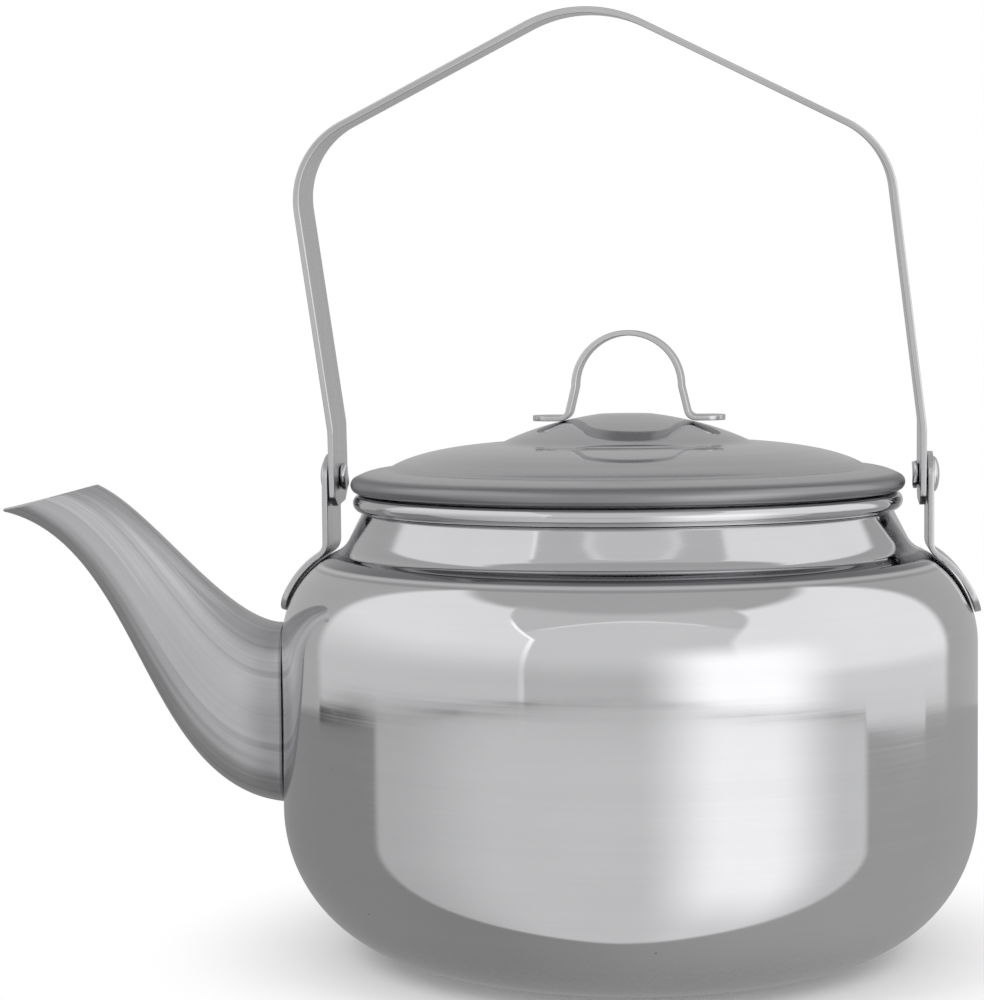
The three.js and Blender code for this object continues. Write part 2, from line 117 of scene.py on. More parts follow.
def rounded(corners, radii, steps):
    """A path with a round of its own radius at each inner corner."""
    corners = [np.asarray(c, float) for c in corners]
    points = []
    for i, (corner, radius) in enumerate(zip(corners, radii)):
        if not radius:
            points.append(corner)
            continue
        before, after = unit(corners[i - 1] - corner), unit(corners[i + 1] - corner)
        half = math.acos(before @ after) / 2
        centre = corner + unit(before + after) * radius / math.sin(half)
        start = corner + before * radius / math.tan(half) - centre
        end = corner + after * radius / math.tan(half) - centre
        sweep = math.atan2(start[0] * end[1] - start[1] * end[0], start @ end)
        for k in range(steps + 1):
            c, s = math.cos(sweep * k / steps), math.sin(sweep * k / steps)
            points.append(centre + [c * start[0] - s * start[1], s * start[0] + c * start[1]])
    return np.array(points)


def normals_of(path):
    """Unit normals to the left of a path, and how much each corner shortens them."""
    into = np.array([unit(path[i] - path[max(i - 1, 0)]) for i in range(len(path))])
    last = len(path) - 1
    out = np.array([unit(path[min(i + 1, last)] - path[i]) for i in range(len(path))])
    along = np.array([unit(a + b) for a, b in zip(into, out)])
    reference = np.vstack([out[:1], into[1:]])
    shortening = np.maximum((along * reference).sum(1), math.sqrt(0.5))
    return np.c_[-along[:, 1], along[:, 0]], shortening


def moved(path, distance):
    normal, shortening = normals_of(path)
    return path + normal * (distance / shortening)[:, None]


def spaced(path, step):
    """The same path with points no further apart than a step."""
    points = [path[0]]
    for a, b in zip(path[:-1], path[1:]):
        count = max(1, math.ceil(np.linalg.norm(b - a) / step))
        points += [a + (b - a) * k / count for k in range(1, count + 1)]
    return np.array(points)


def sheet_section(path, thickness, start_round=True, edge_steps=6):
    """The closed section of a sheet whose middle follows a path, with half-round edges."""
    half = thickness / 2
    right, left = moved(path, -half), moved(path, half)

    def edge(centre, first):
        begin = math.degrees(math.atan2(*(first - centre)[::-1]))
        return arc(centre, half, half, begin, begin + 180, edge_steps)[1:-1]

    parts = [right, edge(path[-1], right[-1]), left[::-1]]
    if start_round:
        parts.append(edge(path[0], left[0]))
    return np.vstack(parts)


def run_lengths(points):
    return np.r_[0, np.cumsum(np.linalg.norm(np.diff(points, axis=0), axis=1))]


# ---------------------------------------------------------------- meshes
GRAIN = "grain"  # the UV map: metres along the piece, and metres or turns across it
ON_AXIS = 1e-9  # a radius in millimetres that counts as none
CUT_PAST = 5.0  # how far a cutting tool reaches past the piece
BORE_SIDES = 48
SHARP_EDGE = 40  # degrees between two faces from which their edge is shaded sharp


def solid(name, points, faces, grain=None):
    """An object from points in millimetres, with its faces turned outwards and its grain map."""
    mesh = bpy.data.meshes.new(name)
    mesh.from_pydata((np.asarray(points) * MM).tolist(), [], faces)
    if grain:
        layer = mesh.uv_layers.new(name=GRAIN)
        layer.data.foreach_set("uv", [value for face in grain for corner in face for value in corner])
    form = bmesh.new()
    form.from_mesh(mesh)
    bmesh.ops.recalc_face_normals(form, faces=form.faces)
    form.to_mesh(mesh)
    form.free()
    made = bpy.data.objects.new(name, mesh)
    scene.collection.objects.link(made)
    return made


def shade_smooth(mesh):
    mesh.polygons.foreach_set("use_smooth", [True] * len(mesh.polygons))


def mesh_piece(name, points, faces, grain, body, node, slot, material):
    """A piece in the frame, in place of a CAD node."""
    piece = solid(name, points, faces, grain)
    shade_smooth(piece.data)
    piece.data.materials.append(material)
    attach(piece, body)
    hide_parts(node)
    return piece


def revolved(section, steps, closes, axis="z", centre=0.0):
    """Points, faces and grain of a section in radius and height turned about Z, or about X."""
    points, rings = [], []
    runs = run_lengths(np.vstack([section, section[:1]]))
    for radius, height in section:
        if radius < ON_AXIS:
            rings.append([len(points)] * steps)
            points.append((0.0, 0.0, height))
            continue
        rings.append(list(range(len(points), len(points) + steps)))
        for k in range(steps):
            turn = 2 * math.pi * k / steps
            points.append((radius * math.cos(turn), radius * math.sin(turn), height))
    faces, grain = [], []
    count = len(section)
    for i in range(count if closes else count - 1):
        j = (i + 1) % count
        if section[i][0] < ON_AXIS and section[j][0] < ON_AXIS:
            continue
        s0, s1 = runs[i] * MM, runs[i + 1] * MM
        for k in range(steps):
            n = (k + 1) % steps
            corners = [(rings[i][k], s0, k), (rings[i][n], s0, k + 1),
                       (rings[j][n], s1, k + 1), (rings[j][k], s1, k)]
            kept = []
            for corner in corners:
                if not any(corner[0] == other[0] for other in kept):
                    kept.append(corner)
            faces.append([c[0] for c in kept])
            grain.append([(c[1], c[2] / steps) for c in kept])
    points = np.array(points)
    if axis == "x":
        points = np.c_[points[:, 2], points[:, 0], points[:, 1] + centre]
    return points, faces, grain


def half_turned(points):
    return np.asarray(points) * [-1, -1, 1]


def skin(loops, runs, across, caps=False):
    """Faces and grain of closed loops joined in a row, with a face over either end if asked."""
    sides = len(loops[0])
    faces, grain = [], []
    for i in range(len(loops) - 1):
        for k in range(sides):
            n = (k + 1) % sides
            faces.append([i * sides + k, i * sides + n, (i + 1) * sides + n, (i + 1) * sides + k])
            v0, v1 = across[i][k], across[i][k + 1]
            w0, w1 = across[i + 1][k], across[i + 1][k + 1]
            grain.append([(runs[i], v0), (runs[i], v1), (runs[i + 1], w1), (runs[i + 1], w0)])
    if caps:
        for i, order in ((0, -1), (len(loops) - 1, 1)):
            ring = [i * sides + k for k in range(sides)][::order]
            faces.append(ring)
            grain.append([(runs[i], across[i][r - i * sides]) for r in ring])
    return np.vstack(loops), faces, grain


STRAP_EDGE = 0.32  # radius of a strap's deburred edges
STRAP_EDGE_STEPS, STRAP_FACE_STEPS = 4, 8
NARROWEST = 0.25  # half width at the very end of a round strap end


def strap_section(half_thickness, half_width):
    """A strap's section across its run, as offsets along its normal and along Y."""
    radius = min(STRAP_EDGE, half_width * 0.7, half_thickness * 0.9)
    corners = []
    for sign_n, sign_y, start in ((1, 1, 0), (-1, 1, 90), (-1, -1, 180), (1, -1, 270)):
        centre = (sign_n * (half_thickness - radius), sign_y * (half_width - radius))
        corners.append(arc(centre, radius, radius, start, start + 90, STRAP_EDGE_STEPS))
    # between corners: over the thickness on both edges, and across the width on both faces
    ring = []
    for i, corner in enumerate(corners):
        a, b = corner[-1], corners[(i + 1) % 4][0]
        steps = 2 if i % 2 == 0 else STRAP_FACE_STEPS
        ring += [corner, a + (b - a) * np.linspace(0, 1, steps + 1)[1:-1, None]]
    return np.vstack(ring)


def strap(path, thickness, half_widths):
    """A strap whose middle follows a path in X and Z, with its own half width at each point."""
    normal, shortening = normals_of(path)
    loops, across = [], []
    for (x, z), (nx, nz), shorter, half in zip(path, normal, shortening, half_widths):
        section = strap_section(thickness / 2, half)
        offset = section[:, 0] / shorter
        loops.append(np.c_[x + nx * offset, section[:, 1], z + nz * offset])
        across.append(run_lengths(np.vstack([section, section[:1]])) * MM)
    return skin(loops, run_lengths(path) * MM, across, caps=True)


def cut(piece, tool_points, tool_faces):
    """Takes a closed tool shape, in millimetres, out of a piece."""
    tool = solid("tool", tool_points, tool_faces)
    tool_mesh = tool.data
    modifier = piece.modifiers.new("cut", "BOOLEAN")
    modifier.object, modifier.operation, modifier.solver = tool, "DIFFERENCE", "EXACT"
    bpy.context.view_layer.update()
    graph = bpy.context.evaluated_depsgraph_get()
    result = bpy.data.meshes.new_from_object(piece.evaluated_get(graph), depsgraph=graph)
    piece.modifiers.remove(modifier)
    old, piece.data = piece.data, result
    bpy.data.objects.remove(tool)
    bpy.data.meshes.remove(tool_mesh)
    name = old.name
    bpy.data.meshes.remove(old)
    result.name = name
    shade_smooth(result)
    result.set_sharp_from_angle(angle=math.radians(SHARP_EDGE))


def bar_along_x(outline, low, high):
    """Points and faces of an outline in Y and Z, carried along X."""
    count = len(outline)
    points = [(low, y, z) for y, z in outline] + [(high, y, z) for y, z in outline]
    faces = [[k, (k + 1) % count, count + (k + 1) % count, count + k] for k in range(count)]
    faces += [list(range(count))[::-1], list(range(count, 2 * count))]
    return points, faces


def weigh_normals(piece):
    """Shades each large flat face flat, with the change of light kept to its small edge faces."""
    modifier = piece.modifiers.new("weighted_normals", "WEIGHTED_NORMAL")
    modifier.keep_sharp = True


# ---------------------------------------------------------------- materials


class Steel:
    """A brushed steel material and the nodes that vary it."""

    def __init__(self, name):
        self.material = bpy.data.materials.new(name)
        self.material.use_nodes = True
        self.tree = self.material.node_tree
        self.shader = self.tree.nodes["Principled BSDF"]

    def add(self, kind, inputs=None, **properties):
        node = self.tree.nodes.new(kind)
        for key, value in properties.items():
            setattr(node, key, value)
        for key, value in (inputs or {}).items():
            self.feed(node, key, value)
        return node

    def feed(self, node, key, value):
        if isinstance(value, bpy.types.NodeSocket):
            self.tree.links.new(value, node.inputs[key])
        else:
            node.inputs[key].default_value = value

    def sum(self, operation, *values):
        node = self.add("ShaderNodeMath", dict(enumerate(values)), operation=operation)
        return node.outputs[0]

    def shifted(self, value, mask, change):
        """A value changed by an amount where a mask is one."""
        return self.sum("ADD", value, self.sum("MULTIPLY", mask, change))

    def ramp(self, value, low, high, to_low, to_high, kind="LINEAR"):
        inputs = {
            "Value": value, "From Min": low, "From Max": high, "To Min": to_low, "To Max": to_high,
        }
        node = self.add("ShaderNodeMapRange", inputs, interpolation_type=kind, clamp=True)
        return node.outputs["Result"]

    def ease(self, *limits):
        """The same with a soft start and end."""
        return self.ramp(*limits, kind="SMOOTHSTEP")

    def swing(self, value, reach, centre=0.0):
        """A noise's middle range spread to a reach on either side of a centre."""
        return self.ramp(value, 0.3, 0.7, centre - reach, centre + reach)

    def noise(self, vector, scale, detail=2.0, rough=0.5):
        inputs = {"Vector": vector, "Scale": scale, "Detail": detail, "Roughness": rough}
        return self.add("ShaderNodeTexNoise", inputs).outputs["Fac"]

    def drawn_noise(self, runs, scales, detail=2.0, rough=0.5):
        """Noise with a scale of its own, in repeats per metre, along each of two or three runs."""
        stretched = [self.sum("MULTIPLY", run, scale) for run, scale in zip(runs, scales)]
        vector = self.add("ShaderNodeCombineXYZ", dict(zip("XYZ", stretched))).outputs["Vector"]
        return self.noise(vector, 1.0, detail, rough)

    def parts(self, vector):
        return self.add("ShaderNodeSeparateXYZ", {"Vector": vector}).outputs

    def length(self, x, y):
        squares = [self.sum("MULTIPLY", value, value) for value in (x, y)]
        return self.sum("SQRT", self.sum("ADD", *squares))

    def band(self, value, low, high, soft_low, soft_high):
        """One between two limits, with soft edges."""
        rise = self.ease(value, low - soft_low, low + soft_low, 0.0, 1.0)
        fall = self.ease(value, high - soft_high, high + soft_high, 1.0, 0.0)
        return self.sum("MULTIPLY", rise, fall)

    def place(self):
        return self.add("ShaderNodeTexCoord").outputs["Object"]

    def grain(self):
        return self.add("ShaderNodeUVMap", uv_map=GRAIN).outputs["UV"]

    def grey(self, value, blue=0.012):
        """A steel colour of a given lightness, a little cooler than grey."""
        cool = self.sum("ADD", value, blue)
        node = self.add("ShaderNodeCombineColor", {"Red": value, "Green": value, "Blue": cool})
        return node.outputs["Color"]

    def specks(self, place, scale, size, chance):
        """One at a few small dark specks, and nought elsewhere."""
        cells = self.add("ShaderNodeTexVoronoi", {"Vector": place, "Scale": scale})
        near = self.ramp(cells.outputs["Distance"], size * 0.5, size, 1.0, 0.0)
        draw = self.parts(cells.outputs["Color"])[0]
        return self.sum("MULTIPLY", near, self.sum("LESS_THAN", draw, chance))

    def bump(self, height, distance, strength, below=None):
        inputs = {"Height": height, "Distance": distance, "Strength": strength}
        if below is not None:
            inputs["Normal"] = below
        return self.add("ShaderNodeBump", inputs).outputs["Normal"]

    def finish(self, light, rough, normal, anisotropy, **tangent):
        """Feeds the shader of a metal, and gives the material."""
        self.feed(self.shader, "Base Color", self.grey(light))
        self.feed(self.shader, "Roughness", rough)
        self.feed(self.shader, "Normal", normal)
        self.shader.inputs["Metallic"].default_value = 1.0
        self.shader.inputs["Anisotropic"].default_value = anisotropy
        along = self.add("ShaderNodeTangent", **tangent)
        self.feed(self.shader, "Tangent", along.outputs["Tangent"])
        return self.material


LINE_DEPTH, WAVE_DEPTH, RIDGE_DEPTH = 0.0001, 0.004, 0.0006  # metres, before a bump's strength
TURNED_LINES, TURNED_BANDS = (6, 6, 1500), (5, 5, 260)
# the draw marks' scales: these marks carry painted highlight and painted shade streaks
DRAWN_LINES, DRAWN_BANDS, DRAWN_RIDGES, DRAW_MARK_AND_GLINT_SCALES = (25, 3200), (15, 704), (5, 260), (4, 330)
BODY_SPECKS, SPOUT_SPECKS = (110, 0.035, 0.16), (70, 0.045, 0.10)  # cells a metre, size, chance
# painted light: a dark ring at the neck's foot that paints in a dark reflection, and under it a painted
# highlight line and a painted shade line for a small step that is not modelled: low, high, and change
# of lightness
NECK_FOOT_PAINTED_RINGS = ((0.0933, 0.0956, -0.44), (0.0927, 0.0931, 0.14), (0.0920, 0.0925, -0.17))
RING_SOFT = 0.0002


def turned_steel(name, lightness, roughness, lines, line_bump, wave_bump, anisotropy, wear_and_shade=None):
    """Steel turned on a lathe: fine lines round the Z axis, a few smudges, slight waves."""
    steel = Steel(name)
    place = steel.place()
    x, y, z = steel.parts(place)
    run = steel.parts(steel.grain())[0]
    fine = steel.drawn_noise((x, y, run), TURNED_LINES, detail=3, rough=0.7)
    bands = steel.drawn_noise((x, y, run), TURNED_BANDS)
    smudge = steel.noise(place, 26, detail=4, rough=0.55)
    tone = steel.sum("ADD", steel.swing(fine, lines), steel.swing(bands, lines))
    tone = steel.sum("ADD", tone, steel.swing(smudge, 0.015))
    light = steel.sum("ADD", tone, lightness)
    rough = steel.sum("ADD", steel.ramp(smudge, 0.35, 0.7, -0.02, 0.03), roughness)
    rough = steel.sum("ADD", rough, steel.swing(fine, 0.0175, 0.0025))
    # wear, finish and painted shade from the given callback
    if wear_and_shade:
        light, rough = wear_and_shade(steel, place, light, rough)
    normal = steel.bump(steel.noise(place, 17, detail=1, rough=0.4), WAVE_DEPTH, wave_bump)
    normal = steel.bump(fine, LINE_DEPTH, line_bump, normal)
    return steel.finish(light, rough, normal, anisotropy, direction_type="RADIAL", axis="Z")


def body_wear_and_painted_shade(steel, place, light, rough):
    """A rougher satin base darkened partly as painted shade, painted rings of light and shade at the
    neck's foot, a less polished neck, and a few specks.
    """
    z = steel.parts(place)[2]
    # a rougher satin base, its darker tone partly the finish and partly painted shade for the dark
    # floor it reflects
    foot = steel.ease(z, 0.006, 0.018, 1.0, 0.0)
    rough = steel.shifted(rough, foot, 0.10)
    grit = steel.noise(place, 900, detail=2)
    light = steel.shifted(light, foot, steel.ramp(grit, 0.3, 0.7, -0.09, -0.04))
    # painted rings: a dark reflection, and a step's highlight and shade, painted into the colour
    for low, high, change in NECK_FOOT_PAINTED_RINGS:
        light = steel.shifted(light, steel.band(z, low, high, RING_SOFT, RING_SOFT), change)
    neck = steel.ease(z, 0.0956, 0.0970, 0.0, 1.0)
    light = steel.shifted(light, neck, -0.06)
    rough = steel.shifted(rough, neck, 0.04)
    return steel.shifted(light, steel.specks(place, *BODY_SPECKS), -0.35), rough


def lid_dulling_and_painted_shade(steel, place, light, rough):
    """A duller crown, and painted shade darkening the roll round it."""
    out = steel.length(*steel.parts(place)[:2])
    crown = steel.ease(out, 0.0500, 0.0590, 0.0, 1.0)
    # painted shade: the roll is darkened for the dark reflection it shows
    roll = steel.ease(out, 0.0628, 0.0646, 0.0, 1.0)
    light = steel.shifted(light, crown, 0.05)
    return steel.shifted(light, roll, -0.34), steel.shifted(rough, crown, 0.26)


def drawn_steel(name, lightness, roughness, lines, line_bump, anisotropy, spout=False):
    """Steel brushed along its run, by the grain map's metres."""
    steel = Steel(name)
    place = steel.place()
    runs = steel.parts(steel.grain())[:2]
    fine = steel.drawn_noise(runs, DRAWN_LINES, detail=3, rough=0.65)
    broad = steel.drawn_noise(runs, DRAWN_BANDS)
    smudge = steel.noise(place, 40, detail=4, rough=0.55)
    tone = steel.sum("ADD", steel.swing(fine, lines), steel.swing(broad, lines))
    tone = steel.sum("ADD", tone, steel.swing(smudge, 0.02))
    rough = steel.sum("ADD", steel.swing(smudge, 0.04, 0.01), roughness)
    rough = steel.sum("ADD", rough, steel.swing(fine, 0.03))
    light = steel.sum("ADD", tone, lightness)
    normal = steel.bump(fine, LINE_DEPTH, line_bump)
    if spout:
        # specks, draw marks along the run painted as crisp light and dark streaks (painted highlights
        # and painted shade for lamp reflections along ridges), darker patches near the root, and long
        # low ridges
        light = steel.shifted(light, steel.specks(place, *SPOUT_SPECKS), -0.40)
        # painted highlight and painted shade streaks along the run, on the draw marks
        marks_and_glints = steel.drawn_noise(runs, DRAW_MARK_AND_GLINT_SCALES, rough=0.6)
        light = steel.sum("ADD", light, steel.ease(marks_and_glints, 0.59, 0.62, 0.0, 0.06))
        light = steel.sum("SUBTRACT", light, steel.ease(marks_and_glints, 0.375, 0.42, 0.07, 0.0))
        # darker patches near the root, where the spout meets the body
        near_root = steel.ease(steel.parts(place)[0], -0.093, -0.0835, 0.0, 1.0)
        patches = steel.ramp(steel.noise(place, 55, detail=3), 0.35, 0.62, -0.02, -0.17)
        light = steel.shifted(light, near_root, patches)
        normal = steel.bump(steel.drawn_noise(runs, DRAWN_RIDGES, detail=1.0), RIDGE_DEPTH, 0.6, normal)
    return steel.finish(light, rough, normal, anisotropy, direction_type="UV_MAP", uv_map=GRAIN)


# name, lightness, roughness, strength of the lines, bump of the lines, bump of the waves, anisotropy
body_steel = turned_steel("body_polished_steel", 0.68, 0.045, 0.006, 0.006, 0.045, 0.0, body_wear_and_painted_shade)
lid_finish = turned_steel("lid_satin_steel", 0.60, 0.07, 0.015, 0.05, 0.02, 0.2, lid_dulling_and_painted_shade)
skirt_steel = turned_steel("skirt_satin_steel", 0.62, 0.25, 0.03, 0.1, 0.0, 0.3)
rivet_finish = turned_steel("rivet_bright_steel", 0.72, 0.2, 0.02, 0.05, 0.0, 0.0)
spout_steel = drawn_steel("spout_brushed_steel", 0.57, 0.31, 0.018, 0.03, 0.2, spout=True)
strap_finish = drawn_steel("strap_brushed_steel", 0.63, 0.26, 0.04, 0.2, 0.3)

# ---------------------------------------------------------------- sizes, as in the CAD source
BODY_SHEET, BODY_RADIUS, BASE_CORNER = 0.8, 82.5, 35.0
WALL_TOP, SHOULDER_RUN, SHOULDER_RISE = 73.6, 19.6, 23.0
NECK_INSET, NECK_RUN, NECK_RISE, NECK_FOOT_FILLET = 15.6, 3.8, 10.55, 2.4
RIM_RADIUS, RIM_CURL_END = 2.05, -75
SEAT_GAP = 0.3
NECK_FOOT_RADIUS = BODY_RADIUS - NECK_INSET
RIM_CENTRE = np.array([NECK_FOOT_RADIUS - NECK_RUN, WALL_TOP + SHOULDER_RISE + NECK_RISE])
THROAT_RADIUS = RIM_CENTRE[0] - RIM_RADIUS
RIM_TOP = RIM_CENTRE[1] + RIM_RADIUS
PIVOT_HEIGHT = frame["joints"][0]["pos_m"][2] / MM

TURN_STEPS = 240


def shoulder_at(radius, outwards):
    share = (radius - (BODY_RADIUS - SHOULDER_RUN)) / (SHOULDER_RUN + outwards)
    return np.array([radius, WALL_TOP + (SHOULDER_RISE + outwards) * math.sqrt(1 - share * share)])


def shoulder_angle_at_height(height, outwards):
    return math.degrees(math.asin((height - WALL_TOP) / (SHOULDER_RISE + outwards)))


def shoulder_angle_at_radius(radius, outwards):
    share = (radius - (BODY_RADIUS - SHOULDER_RUN)) / (SHOULDER_RUN + outwards)
    return math.degrees(math.acos(share))


def shoulder_arc(outwards, start, end, steps):
    centre = (BODY_RADIUS - SHOULDER_RUN, WALL_TOP)
    return arc(centre, SHOULDER_RUN + outwards, SHOULDER_RISE + outwards, start, end, steps)


def tangent_angle(point, centre, radius):
    away = np.asarray(point) - centre
    return math.degrees(math.atan2(away[1], away[0]) - math.acos(radius / np.linalg.norm(away))) % 360


# ---------------------------------------------------------------- body
SPOUT_SHEET = 0.8
SPOUT_TOP_ROOT = WALL_TOP + 4.0
SPOUT_FOOT_ROOT = BASE_CORNER - 1.2
SPOUT_ROOT_WIDTH, SPOUT_MOUTH_WIDTH, SPOUT_TAPER = 35.0, 17.6, 1.6
BODY_STEP = 4.0  # furthest between two points of the body's section


def body_path():
    half = BODY_SHEET / 2
    corner_radius = BASE_CORNER - half
    corner = arc((BODY_RADIUS - BASE_CORNER, BASE_CORNER), corner_radius, corner_radius, -90, 0, 28)
    foot = shoulder_angle_at_radius(NECK_FOOT_RADIUS + NECK_FOOT_FILLET, -half)
    shoulder = shoulder_arc(-half, 0, foot, 24)
    middle = RIM_RADIUS - half
    neck_corner = shoulder_at(NECK_FOOT_RADIUS, 0)
    meets = tangent_angle(neck_corner, RIM_CENTRE, middle)
    roll = arc(RIM_CENTRE, middle, middle, meets, RIM_CURL_END, 22)
    neck_foot = neck_corner + unit(roll[0] - neck_corner) * NECK_FOOT_FILLET
    fillet = pulled(shoulder[-1], neck_corner, neck_foot, 10)
    flat = np.array([[0, half]])
    return np.vstack([flat, corner, shoulder, fillet[1:], roll])


def make_body():
    section = sheet_section(spaced(body_path(), BODY_STEP), BODY_SHEET, start_round=False)
    section[0][0] = section[-1][0] = 0.0
    made = revolved(section, TURN_STEPS, closes=False)
    piece = mesh_piece("body", *made, "kettle", "body_shell", "polished_steel", body_steel)
    middle = (SPOUT_TOP_ROOT + SPOUT_FOOT_ROOT) / 2
    half_width = SPOUT_ROOT_WIDTH / 2 - SPOUT_SHEET
    half_height = (SPOUT_TOP_ROOT - SPOUT_FOOT_ROOT) / 2 - SPOUT_SHEET
    outline = arc((0, middle), half_width, half_height, 0, 360, 96)[1:]
    cut(piece, *bar_along_x(outline, -BODY_RADIUS - CUT_PAST, -BODY_RADIUS / 2))


make_body()

# ---------------------------------------------------------------- spout
SPOUT_SIDES, SPOUT_STATIONS = 96, 72
SPOUT_GIRTH = 85.0  # about halfway along, so that the grain follows the spout as it narrows


def bezier(points, t):
    a, b, c, d = (np.asarray(p, float) for p in points)
    t = np.asarray(t)[:, None]
    place = (1 - t) ** 3 * a + 3 * (1 - t) ** 2 * t * b + 3 * (1 - t) * t * t * c + t ** 3 * d
    slope = 3 * (1 - t) ** 2 * (b - a) + 6 * (1 - t) * t * (c - b) + 3 * t * t * (d - c)
    return place, slope / np.linalg.norm(slope, axis=1)[:, None]


def spout_edge(root_height, root_pull, root_angle, tip_run, tip_height, tip_pull, tip_angle):
    root = np.array([BODY_RADIUS, root_height])
    tip = np.array([BODY_RADIUS + tip_run, tip_height])
    leave, reach = (
        np.array([math.cos(angle), math.sin(angle)]) for angle in np.radians((root_angle, tip_angle))
    )
    return root, root + leave * root_pull, tip - reach * tip_pull, tip


SPOUT_TOP = spout_edge(SPOUT_TOP_ROOT, 14.1, -7.5, 47.0, RIM_TOP + 2.0, 14.9, 22.9)
SPOUT_FOOT = spout_edge(SPOUT_FOOT_ROOT, 36.7, 3.9, 70.2, RIM_TOP - 4.5, 36.3, 12.6)
SADDLE_REACH = 0.14  # share of the spout over which its sections turn from the wall's round to flat
LIP_STEPS = 6


def spout_loops(shares, inwards):
    top, top_way = bezier(SPOUT_TOP, shares)
    foot, foot_way = bezier(SPOUT_FOOT, shares)
    top = top + np.c_[-top_way[:, 1], top_way[:, 0]] * -inwards
    foot = foot + np.c_[-foot_way[:, 1], foot_way[:, 0]] * inwards
    wall = BODY_RADIUS + SEAT_GAP
    angle = 2 * np.pi * np.arange(SPOUT_SIDES) / SPOUT_SIDES
    loops = []
    for share, t, f in zip(shares, top, foot):
        middle, half = (t + f) / 2, (t - f) / 2
        wider = (SPOUT_ROOT_WIDTH - SPOUT_MOUTH_WIDTH) * (1 - share) ** SPOUT_TAPER
        width = SPOUT_MOUTH_WIDTH + wider
        at = middle + np.cos(angle)[:, None] * half
        y = (width / 2 - inwards) * np.sin(angle)
        ease = max(0.0, 1 - share / SADDLE_REACH)
        ease = ease * ease * (3 - 2 * ease)
        saddle = wall - np.sqrt(wall ** 2 - y ** 2)
        if share == 0:
            reach = wall - saddle
        else:
            reach = at[:, 0] + SEAT_GAP * ease - saddle * ease
        loops.append(np.c_[-reach, y, at[:, 1]])
    return loops


def make_spout():
    shares = np.linspace(0, 1, SPOUT_STATIONS + 1)
    outer = spout_loops(shares, 0.0)
    inner = spout_loops(shares, SPOUT_SHEET)
    lip = []
    last_out, last_in = outer[-1], inner[-1]
    way = unit(bezier(SPOUT_TOP, [1.0])[1][0] + bezier(SPOUT_FOOT, [1.0])[1][0])
    ahead = np.array([-way[0], 0.0, way[1]])
    middle, half = (last_out + last_in) / 2, (last_out - last_in) / 2
    reach = SPOUT_SHEET / 2
    for k in range(1, LIP_STEPS):
        turn = math.pi * k / LIP_STEPS
        lip.append(middle + half * math.cos(turn) + ahead * reach * (math.sin(turn) - 1.0))
    outer[-1] = outer[-1] - ahead * reach
    inner[-1] = inner[-1] - ahead * reach
    loops = outer + lip + inner[::-1]
    runs, total = [0.0], 0.0
    for a, b in zip(loops[:-1], loops[1:]):
        total += float(np.linalg.norm(b - a, axis=1).mean()) * MM
        runs.append(total)
    across = []
    for loop in loops:
        girth = run_lengths(np.vstack([loop, loop[:1]]))
        across.append(girth / girth[-1] * SPOUT_GIRTH * MM)
    points, faces, grain = skin(loops, runs, across)
    count, sides = len(loops), SPOUT_SIDES
    for k in range(sides):
        n = (k + 1) % sides
        a, b = (count - 1) * sides + k, (count - 1) * sides + n
        faces.append([a, b, n, k])
        grain.append([(runs[-1], across[-1][k]), (runs[-1], across[-1][k + 1]),
                      (runs[-1], across[0][k + 1]), (runs[-1], across[0][k])])
    mesh_piece("spout_tube", points, faces, grain, "kettle", "spout", "satin_steel", spout_steel)


make_spout()

# ---------------------------------------------------------------- ears, rivets and bail
LID_OVERHANG, LID_ROLL_RADIUS = 0.7, 1.9
LID_ROLL_CENTRE_RADIUS = RIM_CENTRE[0] + LID_OVERHANG
EAR_SHEET, EAR_WIDTH, EAR_STAND_OFF, EAR_BEND = 1.4, 19.0, 6.3, 2.0
EAR_TOP_RISE, EAR_TAIL_DROP, EAR_TAIL_ROUND = 5.4, 14.9, 5.0
ROUND_END_STEPS = 14
EAR_FACE = LID_ROLL_CENTRE_RADIUS + LID_ROLL_RADIUS + EAR_STAND_OFF
EAR_MIDDLE = EAR_FACE - EAR_SHEET / 2
EAR_INNER = EAR_FACE - EAR_SHEET
SHANK_RADIUS, RIVET_PLAY = 2.5, 0.25
HEAD_RADIUS, HEAD_RISE, TAIL_RADIUS, TAIL_RISE = 4.2, 1.7, 3.2, 1.2
HEAD_RIM, TAIL_ROUND, RIVET_SIDES = 0.3, 0.5, 64
BAIL_SHEET, BAIL_WIDTH, BAIL_GAP = 1.5, 19.0, 0.3
BAIL_OUTER = EAR_INNER - BAIL_GAP
BAIL_INNER = BAIL_OUTER - BAIL_SHEET


def end_spacing(length, reach):
    """Places along a run, close together over a reach at either end, as a round end needs."""
    turn = np.linspace(0, np.pi / 2, ROUND_END_STEPS + 1)
    near = reach * (1 - np.cos(turn))
    return near, length - near[::-1]


def resampled(path, places):
    runs = run_lengths(path)
    return np.c_[np.interp(places, runs, path[:, 0]), np.interp(places, runs, path[:, 1])]


def round_end(share):
    """A round end's width as a share of the strap's, from the share of the end that is left."""
    return np.sqrt(np.clip(1 - share ** 2, 0, 1))


def rivet_bore(low, high, height):
    radius = SHANK_RADIUS + RIVET_PLAY
    return bar_along_x(arc((0, height), radius, radius, 0, 360, BORE_SIDES)[1:], low, high)


